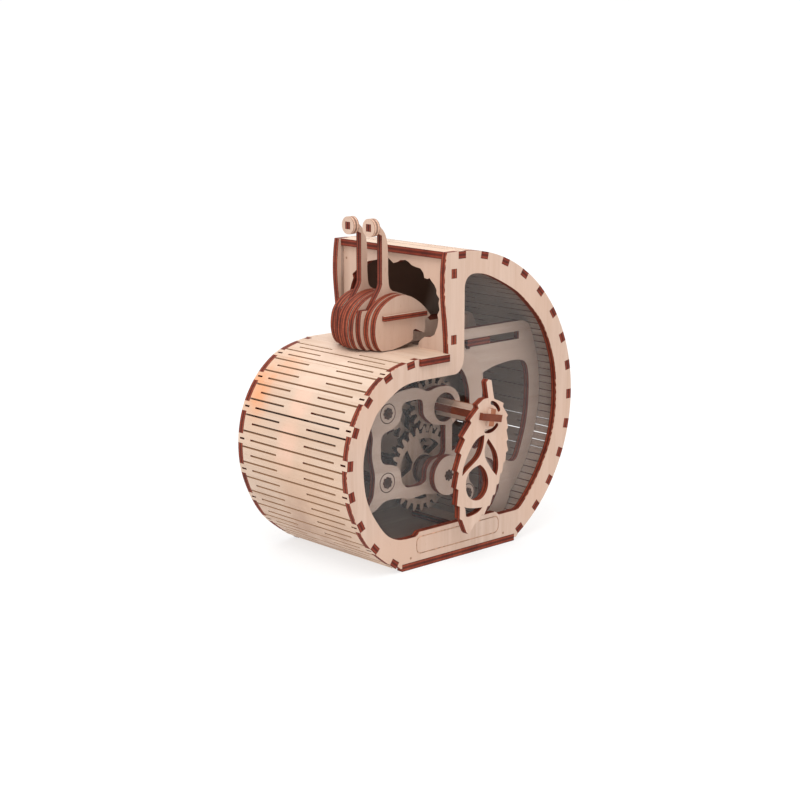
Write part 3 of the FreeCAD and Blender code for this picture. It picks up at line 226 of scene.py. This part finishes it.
def depth_left(nt):
    """0 at the inner face of the left skin, 1 at its outer face, from a table of the contour's radius by angle."""
    tc = nt.nodes.new("ShaderNodeTexCoord")
    sep = nt.nodes.new("ShaderNodeSeparateXYZ")
    nt.links.new(tc.outputs["Object"], sep.inputs["Vector"])
    x = math_node(nt, "SUBTRACT", LC[0], sep.outputs[0])
    z = math_node(nt, "SUBTRACT", sep.outputs[2], LC[1])
    ang = math_node(nt, "ARCTAN2", z, x)
    u = math_node(nt, "ADD", math_node(nt, "DIVIDE", ang, 4.0), 0.5)
    fc = nt.nodes.new("ShaderNodeFloatCurve")
    nt.links.new(u, fc.inputs["Value"])
    pts = np.vstack([[(x, 113.6) for x in (-9.0, -14.0, -19.0, -24.0)], LINE]) * MM
    a = np.arctan2(pts[:, 1] - LC[1], LC[0] - pts[:, 0]) / 4.0 + 0.5
    rad = np.hypot(pts[:, 1] - LC[1], LC[0] - pts[:, 0])
    order = np.argsort(a)
    a, rad = a[order], rad[order]
    cur = fc.mapping.curves[0]
    us = np.linspace(a[0], a[-1], 40)
    rs = np.interp(us, a, rad) * 10.0
    cur.points[0].location = (float(us[0]), float(rs[0]))
    cur.points[1].location = (float(us[-1]), float(rs[-1]))
    for q, r in zip(us[1:-1], rs[1:-1]):
        cur.points.new(float(q), float(r))
    fc.mapping.update()
    here = math_node(nt, "SQRT", math_node(nt, "ADD", math_node(nt, "MULTIPLY", x, x), math_node(nt, "MULTIPLY", z, z)))
    off = math_node(nt, "SUBTRACT", here, math_node(nt, "MULTIPLY", fc.outputs[0], 0.1))
    return math_node(nt, "ADD", math_node(nt, "DIVIDE", off, PLY), 0.5)


def ply_edge(name, axis, start, thick, seed, light=(122, 52, 35), dark=(82, 33, 22), core=(146, 74, 50), depth=None,
             line=0.34, painted_glow=None):
    """Laser-burnt edge: three plies across the sheet, soot, fine striations along the cut."""
    m, nt, bsdf = new_mat(name)
    tc = nt.nodes.new("ShaderNodeTexCoord")
    sep = nt.nodes.new("ShaderNodeSeparateXYZ")
    nt.links.new(tc.outputs["Object"], sep.inputs["Vector"])
    off = (seed * 0.61, seed * 1.9, seed * 1.13)
    v = mapping(nt, (1, 1, 1), off)
    soot = noise(nt, v, 90.0, 5.0, 0.6, 0.3)
    grit = noise(nt, v, 1500.0, 3.0, 0.7)
    rs = ramp(nt, [(0.25, lin(dark)), (0.45, lin(light)), (0.85, lin(core))])
    nt.links.new(soot.outputs["Fac"], rs.inputs["Fac"])
    c = rs.outputs["Color"]
    if axis is not None or depth is not None:
        where = depth(nt) if depth else math_node(nt, "DIVIDE", math_node(nt, "SUBTRACT", sep.outputs[axis], start), thick)
        k = line
        j = 0.5 * (k + 0.34)
        band = ramp(nt, [(0.0, (k, k * 0.86, k * 0.80, 1)), (0.07, (k * 1.5, k * 1.3, k * 1.2, 1)), (0.13, (1.22, 1.18, 1.14, 1)),
                         (0.31, (1.28, 1.24, 1.20, 1)), (0.38, (j * 1.1, j, j * 0.95, 1)), (0.50, (j * 1.35, j * 1.25, j * 1.2, 1)),
                         (0.62, (j * 1.1, j, j * 0.95, 1)), (0.69, (1.28, 1.24, 1.20, 1)),
                         (0.87, (1.22, 1.18, 1.14, 1)), (0.93, (k * 1.5, k * 1.3, k * 1.2, 1)), (1.0, (k, k * 0.86, k * 0.80, 1))])
        nt.links.new(where, band.inputs["Fac"])
        c = mix(nt, c, band.outputs["Color"], 0.9, "MULTIPLY")
        sv = [1.0, 1.0, 1.0]
        if axis is not None:
            sv[axis] = 0.06
        v2 = mapping(nt, tuple(sv), off)
        stri = noise(nt, v2, 1300.0, 2.0, 0.5)
        rt = ramp(nt, [(0.35, (0.72, 0.66, 0.62, 1)), (0.6, (1.08, 1.05, 1.03, 1))])
        nt.links.new(stri.outputs["Fac"], rt.inputs["Fac"])
        c = mix(nt, c, rt.outputs["Color"], 0.6, "MULTIPLY")
        nt.links.new(bump(nt, stri.outputs["Fac"], 0.4, 0.00015), bsdf.inputs["Normal"])
    else:
        nt.links.new(bump(nt, grit.outputs["Fac"], 0.3, 0.0001), bsdf.inputs["Normal"])
    nt.links.new(c, bsdf.inputs["Base Color"])
    bsdf.inputs["Roughness"].default_value = 0.72
    bsdf.inputs["Specular IOR Level"].default_value = 0.25
    if painted_glow:
        # painted light: the slit walls glow faintly to lift their tone
        bsdf.inputs["Emission Color"].default_value = lin(painted_glow)
        bsdf.inputs["Emission Strength"].default_value = 1.0
    return m


def burnt(name, seed, tone=(74, 40, 28)):
    """Engraved floor: the laser's brown raster, uneven and dull."""
    m, nt, bsdf = new_mat(name)
    v = mapping(nt, (1, 1, 1), (seed, seed * 0.7, 0.3))
    a = noise(nt, v, 260.0, 5.0, 0.6)
    r = ramp(nt, [(0.3, lin(tuple(c * 0.75 for c in tone))), (0.7, lin(tuple(min(255, c * 1.35) for c in tone)))])
    nt.links.new(a.outputs["Fac"], r.inputs["Fac"])
    nt.links.new(r.outputs["Color"], bsdf.inputs["Base Color"])
    nt.links.new(bump(nt, a.outputs["Fac"], 0.4, 0.0002), bsdf.inputs["Normal"])
    bsdf.inputs["Roughness"].default_value = 0.85
    bsdf.inputs["Specular IOR Level"].default_value = 0.15
    return m


FACE_LIGHT, FACE_DARK, FACE_WARM = lin((209, 182, 165)), lin((195, 165, 146)), lin((205, 171, 150))
INNER_LIGHT, INNER_DARK, INNER_WARM = lin((209, 185, 170)), lin((191, 165, 149)), lin((199, 169, 151))
GEAR_LIGHT, GEAR_DARK, GEAR_WARM = lin((204, 178, 160)), lin((182, 154, 136)), lin((192, 160, 140))
# painted shade: darker tones for the collar, sleeve and hub that sit in shadow inside the box
PAINTED_SHADE_LIGHT, PAINTED_SHADE_DARK, PAINTED_SHADE_WARM = lin((124, 98, 82)), lin((96, 72, 58)), lin((110, 82, 66))
SHADE_LIGHT, SHADE_DARK, SHADE_WARM = lin((184, 165, 153)), lin((162, 143, 131)), lin((172, 149, 136))
SKIN_LIGHT, SKIN_DARK, SKIN_WARM = lin((214, 190, 171)), lin((200, 173, 152)), lin((210, 176, 150))
# painted shade for the bottom of the left skin and painted highlight for its top
BOTTOM_PAINTED_SHADE, TOP_PAINTED_HIGHLIGHT = lin((176, 143, 122)), lin((228, 199, 178))
# painted shade: darker copies of the face tones for the head's shaded faces
HEAD_SHADED_LIGHT, HEAD_SHADED_DARK, HEAD_SHADED_WARM = lin((201, 172, 154)), lin((186, 155, 136)), lin((196, 161, 140))
ORANGE, PINK = lin((228, 151, 100)), lin((236, 188, 166))
RIGHT_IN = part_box("skin_right")[1][0] - PLY


# ------------------------------------------- which polygons are sheet faces
LEFT = np.array([(-30.0, 113.6), (-37.7, 112.9), (-54.1, 108.2), (-68.0, 97.2), (-77.1, 82.3), (-80.9, 65.1),
                 (-79.9, 48.2), (-73.6, 31.2), (-63.7, 17.0), (-49.7, 5.8), (-44.6, 2.1)])


def smooth_line(p, n=16):
    q = np.vstack([2 * p[0] - p[1], p, 2 * p[-1] - p[-2]])
    out = []
    for i in range(1, len(q) - 2):
        for k in range(n):
            t = k / n
            a, b, c, d = q[i - 1], q[i], q[i + 1], q[i + 2]
            out.append(0.5 * (2 * b + (c - a) * t + (2 * a - 5 * b + 4 * c - d) * t * t + (-a + 3 * b - 3 * c + d) * t ** 3))
    out.append(q[-2])
    return np.array(out)


LINE = smooth_line(LEFT)
TAN = np.gradient(LINE, axis=0)
TAN /= np.linalg.norm(TAN, axis=1)[:, None]


def face_split(name, o, axis, inner):
    """Material index by polygon: 0 the sheet's outer faces, 1 its cut edges, 2 engraved floors, 3 faces towards the inside."""
    me = o.data
    n = len(me.polygons)
    nor = np.zeros(n * 3, np.float32)
    cen = np.zeros(n * 3, np.float32)
    me.polygons.foreach_get("normal", nor)
    me.polygons.foreach_get("center", cen)
    nor, cen = nor.reshape(-1, 3), cen.reshape(-1, 3)
    idx = np.ones(n, np.int32)
    if axis in (0, 1, 2):
        face = np.abs(nor[:, axis]) > 0.9
        lo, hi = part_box(name)[0][axis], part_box(name)[1][axis]
        idx[face] = 2
        idx[face & (np.abs(cen[:, axis] - lo) < 0.00006)] = 0
        idx[face & (np.abs(cen[:, axis] - hi) < 0.00006)] = 0
        if name == "plate_near":
            # the shallow walls of the engraved line are as light as its floor
            idx[(idx == 1) & (cen[:, 1] < -0.04568)] = 2
        if inner:
            idx[(idx == 0) & (nor[:, axis] * inner > 0)] = 3
    elif axis == "right":
        rad = np.stack([cen[:, 0], cen[:, 2] - 0.0805], 1)
        rad[cen[:, 0] <= 0] = (0, 1)
        rad /= np.linalg.norm(rad, axis=1)[:, None]
        dot = nor[:, 0] * rad[:, 0] + nor[:, 2] * rad[:, 1]
        idx[dot > 0.9] = 0
        idx[dot < -0.9] = 3
    else:
        p = cen[:, [0, 2]] * 1000
        dd = ((p[:, None, :] - LINE[None]) ** 2).sum(2)
        t = TAN[dd.argmin(1)]
        t[p[:, 0] > -30] = (-1, 0)
        dot = nor[:, 0] * t[:, 1] - nor[:, 2] * t[:, 0]
        idx[dot > 0.9] = 0
        idx[dot < -0.9] = 3
        # the walls of the bending slits
        idx[(idx == 1) & (np.abs(nor[:, 1]) < 0.5) & (np.abs(cen[:, 1]) < 0.0415)] = 2
    me.polygons.foreach_set("material_index", idx)
    me.update()
    return idx


def dress(name, face, edge, axis, etched=None, shade=None, inner=0):
    o = NODES[name]
    o.data.materials.clear()
    for m in (face, edge, etched or edge, shade or face):
        o.data.materials.append(m)
    idx = face_split(name, o, axis, inner)
    print("dress", name, np.bincount(idx, minlength=4).tolist())


def node_start(name, axis):
    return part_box(name)[0][axis]


seedn = 1
AX_Y = ["plate_near", "plate_far", "frame_near", "frame_far", "guide_near", "guide_far", "leaf_crank", "shaft_collar",
        "disc_idler", "sleeve_idler", "hub_idler", "gear_idler", "gear_output", "pinion_crank", "pinion_idler", "rack",
        "hatch_cover", "shaft_bush_far", "tie_rod_upper", "tie_rod_lower", "tie_rod_right", "axle_idler"]
AX_Y += [n for n in NODES if n.startswith("head_layer")]
BRIGHT = {"plate_near", "plate_far", "leaf_crank", "hatch_cover"}
GEARS = {"gear_idler", "gear_output", "pinion_crank", "pinion_idler"}
PAINTED_SHADE_PARTS = {"sleeve_idler", "hub_idler", "shaft_collar"}
GRAIN_X = {"frame_near", "frame_far", "guide_near", "guide_far", "rack"}
ENGRAVED = {"plate_near": (174, 140, 119), "frame_near": (66, 38, 28), "frame_far": (66, 38, 28)}
INNER = {"plate_near": 1, "plate_far": -1}
# painted shade: the side walls behind the doorway are darkened where little light reaches them
DOORWAY_PAINTED_SHADE = [((0.027, 0.042, 0.142), 0.031, 0.040, lin((110, 80, 64)), 1.0), ((0.027, -0.042, 0.142), 0.031, 0.040, lin((110, 80, 64)), 1.0),
        ((0.025, 0.042, 0.106), 0.021, 0.030, lin((110, 80, 64)), 0.9)]
SPOTS = {"plate_near": [((SPX[0], -0.046, SPX[1]), 0.0009) for SPX in ((-0.0377, 0.0064), (0.0344, 0.0063))]}
for name in AX_Y:
    seedn += 1
    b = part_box(name)
    g = 0 if name in GRAIN_X else 2
    bright = name in BRIGHT or name.startswith("head")
    tones = (FACE_LIGHT, FACE_DARK, FACE_WARM) if bright else (INNER_LIGHT, INNER_DARK, INNER_WARM)
    # painted shade on the head's faces
    if name.startswith("head"):
        tones = (HEAD_SHADED_LIGHT, HEAD_SHADED_DARK, HEAD_SHADED_WARM)
    if name in GEARS:
        tones = (GEAR_LIGHT, GEAR_DARK, GEAR_WARM)
    if name in PAINTED_SHADE_PARTS:
        tones = (PAINTED_SHADE_LIGHT, PAINTED_SHADE_DARK, PAINTED_SHADE_WARM)
    f = ply_face("ply_face_" + name, g, *tones, seedn, spots=SPOTS.get(name, ()))
    thick = b[1][1] - b[0][1]
    # painted shade: the rims of head layers 3 and 7 sit in shadow and get darker tones
    if name in ("head_layer_3", "head_layer_7"):
        e = ply_edge("ply_edge_" + name, 1, b[0][1], thick, seedn, light=(112, 48, 33), dark=(74, 31, 21), core=(136, 64, 43),
                     line=0.22)
    elif name.startswith("head"):
        e = ply_edge("ply_edge_" + name, 1, b[0][1], thick, seedn, light=(134, 62, 42), dark=(98, 42, 29), core=(160, 84, 58),
                     line=0.16)
    elif name in GEARS:
        e = ply_edge("ply_edge_" + name, 1, b[0][1], thick, seedn, light=(66, 34, 25), dark=(42, 22, 17), core=(84, 46, 34))
    # painted shade on the edges of the shadowed collar, sleeve and hub
    elif name in PAINTED_SHADE_PARTS:
        e = ply_edge("ply_edge_" + name, 1, b[0][1], PLY, seedn, light=(74, 38, 28), dark=(50, 26, 20), core=(92, 50, 37))
    elif thick > 0.006:
        e = ply_edge("ply_edge_" + name, 1, b[0][1], PLY, seedn)
    else:
        e = ply_edge("ply_edge_" + name, 1, b[0][1], thick, seedn)
    et = burnt("engraved_" + name, seedn, ENGRAVED[name]) if name in ENGRAVED else None
    sh = None
    # painted shade: the plates' inner faces take the shade tones, except the doorway recess, which keeps the lit face
    # tones
    if name in INNER:
        sh = ply_face("ply_shade_" + name, g, SHADE_LIGHT, SHADE_DARK, SHADE_WARM, seedn + 0.5,
                      zone=(-0.0100, 0.1142, FACE_LIGHT, FACE_DARK), stains_and_painted_light=DOORWAY_PAINTED_SHADE)
    if name.startswith(("tie_rod", "axle")):
        # the rods' lobed ends are burnt almost through
        f = burnt("burnt_end_" + name, seedn, (60, 38, 29))
    dress(name, f, e, 1, et, sh, INNER.get(name, 0))
for name in ("base_board", "carriage_plate", "head_shelf", "rest_rail"):
    seedn += 1
    lo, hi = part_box(name)[0][2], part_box(name)[1][2]
    f = ply_face("ply_face_" + name, 0, FACE_LIGHT, FACE_DARK, FACE_WARM, seedn)
    sh = ply_face("ply_shade_" + name, 0, INNER_LIGHT, INNER_DARK, INNER_WARM, seedn + 0.5) if name == "base_board" else None
    dress(name, f, ply_edge("ply_edge_" + name, 2, lo, hi - lo, seedn), 2, None, sh, 1 if sh else 0)
for name in ("doorway_wall", "eye_near", "eye_far"):
    seedn += 1
    lo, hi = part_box(name)[0][0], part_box(name)[1][0]
    f = ply_face("ply_face_" + name, 2, FACE_LIGHT, FACE_DARK, FACE_WARM, seedn,
                 spots=[((-0.008, 0.0395, 0.1594), 0.0009)] if name == "doorway_wall" else ())
    sh = ply_face("ply_shade_" + name, 2, SHADE_LIGHT, SHADE_DARK, SHADE_WARM, seedn + 0.5) if name == "doorway_wall" else None
    if name == "doorway_wall":
        e = ply_edge("ply_edge_" + name, 0, lo, hi - lo, seedn)
    else:
        # the eye discs are cut with a lighter burn
        e = ply_edge("ply_edge_" + name, 0, lo, hi - lo, seedn, light=(198, 164, 145), dark=(158, 112, 94), core=(206, 176, 158))
    dress(name, f, e, 0, None, sh, 1 if sh else 0)
# the left skin's veneer has warm stains high up towards the far plate, a painted highlight on its flat top and painted
# shade low down near the floor
SKIN_STAINS_AND_PAINTED_LIGHT = [((-0.0680, 0.034, 0.0972), 0.004, 0.022, ORANGE, 0.62), ((-0.0720, 0.040, 0.0910), 0.004, 0.020, ORANGE, 0.56),
          ((-0.0600, 0.026, 0.1035), 0.004, 0.018, ORANGE, 0.44), ((-0.0760, 0.034, 0.0840), 0.003, 0.013, ORANGE, 0.36),
          ((-0.0665, 0.002, 0.0985), 0.004, 0.012, PINK, 0.46), ((-0.0730, 0.000, 0.0890), 0.004, 0.012, PINK, 0.48),
          ((-0.0800, 0.004, 0.0710), 0.004, 0.013, PINK, 0.48), ((-0.0808, 0.006, 0.0600), 0.004, 0.011, PINK, 0.40),
          ((-0.0440, 0.000, 0.1140), 0.014, 0.044, TOP_PAINTED_HIGHLIGHT, 0.68), ((-0.0640, 0.000, 0.0050), 0.010, 0.062, BOTTOM_PAINTED_SHADE, 0.95)]
for name, kind in (("skin_right", "right"), ("skin_left", "left")):
    seedn += 1
    f = ply_face("ply_face_" + name, 1, SKIN_LIGHT, SKIN_DARK, SKIN_WARM, seedn, 0.55,
                 stains_and_painted_light=SKIN_STAINS_AND_PAINTED_LIGHT if name == "skin_left" else ())
    sh = ply_face("ply_shade_" + name, 1, SHADE_LIGHT, SHADE_DARK, SHADE_WARM, seedn + 0.5)
    e = ply_edge("ply_edge_" + name, None, 0, PLY, seedn, light=(116, 46, 31), dark=(76, 29, 20), core=(132, 60, 42),
                 depth=depth_right if kind == "right" else depth_left, line=0.42)
    et = ply_edge("slit_walls", None, 0, PLY, seedn, light=(158, 126, 100), dark=(130, 102, 80), core=(170, 138, 110),
                  painted_glow=(90, 69, 52)) if kind == "left" else None
    dress(name, f, e, kind, et, sh)


def strip_split(name):
    """A shaft strip: its wide faces are veneer, its narrow faces and ends are cut edges."""
    seed = sum(map(ord, name)) % 50
    o = NODES[name]
    me = o.data
    # the wide faces have the larger area
    acc = {}
    for p in me.polygons:
        k = tuple(round(abs(v), 1) for v in p.normal)
        acc[k] = acc.get(k, 0) + p.area
    wide = max(acc, key=acc.get)
    f = ply_face("ply_face_" + name, 1, INNER_LIGHT, INNER_DARK, INNER_WARM, seed)
    if name == "shaft_strip_b":
        e = ply_edge("ply_edge_" + name, None, 0, PLY, seed, light=(150, 92, 66), dark=(104, 56, 38), core=(172, 120, 90))
    else:
        e = ply_edge("ply_edge_" + name, None, 0, PLY, seed, light=(108, 52, 34), dark=(74, 36, 24), core=(126, 70, 46))
    me.materials.clear()
    me.materials.append(f)
    me.materials.append(e)
    for p in me.polygons:
        p.material_index = 0 if tuple(round(abs(v), 1) for v in p.normal) == wide else 1


for name in ("shaft_strip_a", "shaft_strip_b"):
    strip_split(name)

# hatch pin: turned hardwood with end grain rings
m, nt, bsdf = new_mat("turned_pin")
v = mapping(nt, (1, 0.15, 1), (-0.052, 0, -0.093))
w = nt.nodes.new("ShaderNodeTexWave")
w.wave_type = "RINGS"
w.rings_direction = "Y"
w.inputs["Scale"].default_value = 900.0
w.inputs["Distortion"].default_value = 3.0
nt.links.new(v, w.inputs["Vector"])
r = ramp(nt, [(0.2, lin((170, 112, 72))), (0.8, lin((205, 152, 108)))])
nt.links.new(w.outputs["Fac"], r.inputs["Fac"])
nt.links.new(r.outputs["Color"], bsdf.inputs["Base Color"])
bsdf.inputs["Roughness"].default_value = 0.45
NODES["hatch_pin"].data.materials.clear()
NODES["hatch_pin"].data.materials.append(m)

# clear pane: polished acrylic, faint smoke tint
m, nt, bsdf = new_mat("clear_pane")
# the grey base at alpha 0.10 lays a faint veil over the window: part smoke tint, part painted reflection of the pane
bsdf.inputs["Base Color"].default_value = lin((126, 128, 128))
bsdf.inputs["Roughness"].default_value = 0.06
bsdf.inputs["IOR"].default_value = 1.49
bsdf.inputs["Alpha"].default_value = 0.10
v = mapping(nt, (1, 1, 1))
nz = noise(nt, v, 25.0, 2.0, 0.4)
nt.links.new(bump(nt, nz.outputs["Fac"], 0.02, 0.0005), bsdf.inputs["Normal"])
m.blend_method = "BLEND"
NODES["window_pane"].data.materials.clear()
NODES["window_pane"].data.materials.append(m)

# ------------------------------------------------------------------ the stage
# a floor that rises into a far wall in one smooth sweep
me = bpy.data.meshes.new("floor")
bm = bmesh.new()
prof = [(0.0, 0.0), (0.4, 0.0), (0.8, 0.0), (1.4, 0.0), (2.2, 0.0)]
prof += [(2.2 + 1.2 * math.sin(math.radians(a)), 1.2 - 1.2 * math.cos(math.radians(a))) for a in range(8, 81, 8)]
rings = []
for r, z in prof[1:]:
    rings.append([bm.verts.new((r * math.cos(math.tau * k / 96), r * math.sin(math.tau * k / 96), z - 0.0002)) for k in range(96)])
mid = bm.verts.new((0, 0, -0.0002))
for k in range(96):
    bm.faces.new((mid, rings[0][k], rings[0][(k + 1) % 96]))
for a, b in zip(rings, rings[1:]):
    for k in range(96):
        bm.faces.new((a[k], b[k], b[(k + 1) % 96], a[(k + 1) % 96]))
for f in bm.faces:
    f.smooth = True
bm.to_mesh(me)
bm.free()
floor = bpy.data.objects.new("floor", me)
bpy.context.scene.collection.objects.link(floor)
m, nt, bsdf = new_mat("floor_paper")
v = mapping(nt)
nz = noise(nt, v, 3.0, 2.0, 0.4)
r = ramp(nt, [(0.3, (0.29, 0.29, 0.29, 1)), (0.7, (0.31, 0.31, 0.31, 1))])
nt.links.new(nz.outputs["Fac"], r.inputs["Fac"])
nt.links.new(r.outputs["Color"], bsdf.inputs["Base Color"])
bsdf.inputs["Roughness"].default_value = 1.0
bsdf.inputs["Specular IOR Level"].default_value = 0.0
bsdf.inputs["Emission Color"].default_value = (1, 1, 1, 1)
bsdf.inputs["Emission Strength"].default_value = 0.69
floor.data.materials.append(m)

world = bpy.data.worlds.new("studio")
bpy.context.scene.world = world
world.use_nodes = True
bg = world.node_tree.nodes["Background"]
bg.inputs["Color"].default_value = (1.0, 1.0, 1.0, 1)
bg.inputs["Strength"].default_value = 1.08


def area(name, loc, target, size, power, color=(1, 1, 1)):
    l = bpy.data.lights.new(name, "AREA")
    l.shape = "SQUARE"
    l.size = size
    l.energy = power
    l.color = color
    o = bpy.data.objects.new(name, l)
    bpy.context.scene.collection.objects.link(o)
    o.location = loc
    o.rotation_euler = (Vector(target) - Vector(loc)).to_track_quat("-Z", "Y").to_euler()
    return o


area("key", (-0.65, -0.50, 1.35), (0, 0, 0.08), 0.8, 10.0, (1.0, 0.98, 0.96))
area("rim", (0.6, 0.9, 0.9), (0, 0, 0.1), 0.8, 2.5, (1.0, 0.98, 0.96))

cam = bpy.data.cameras.new("camera")
cam.lens = 78.37
cam.sensor_width = 36.0
cam.clip_start = 0.05
cam.dof.use_dof = False
co = bpy.data.objects.new("camera", cam)
bpy.context.scene.collection.objects.link(co)
co.location = (-0.6578, -0.7058, 0.2885)
co.rotation_euler = Vector((0.6650, 0.7168, -0.2098)).to_track_quat("-Z", "Y").to_euler()
bpy.context.scene.camera = co
bpy.context.scene.view_settings.view_transform = "Standard"
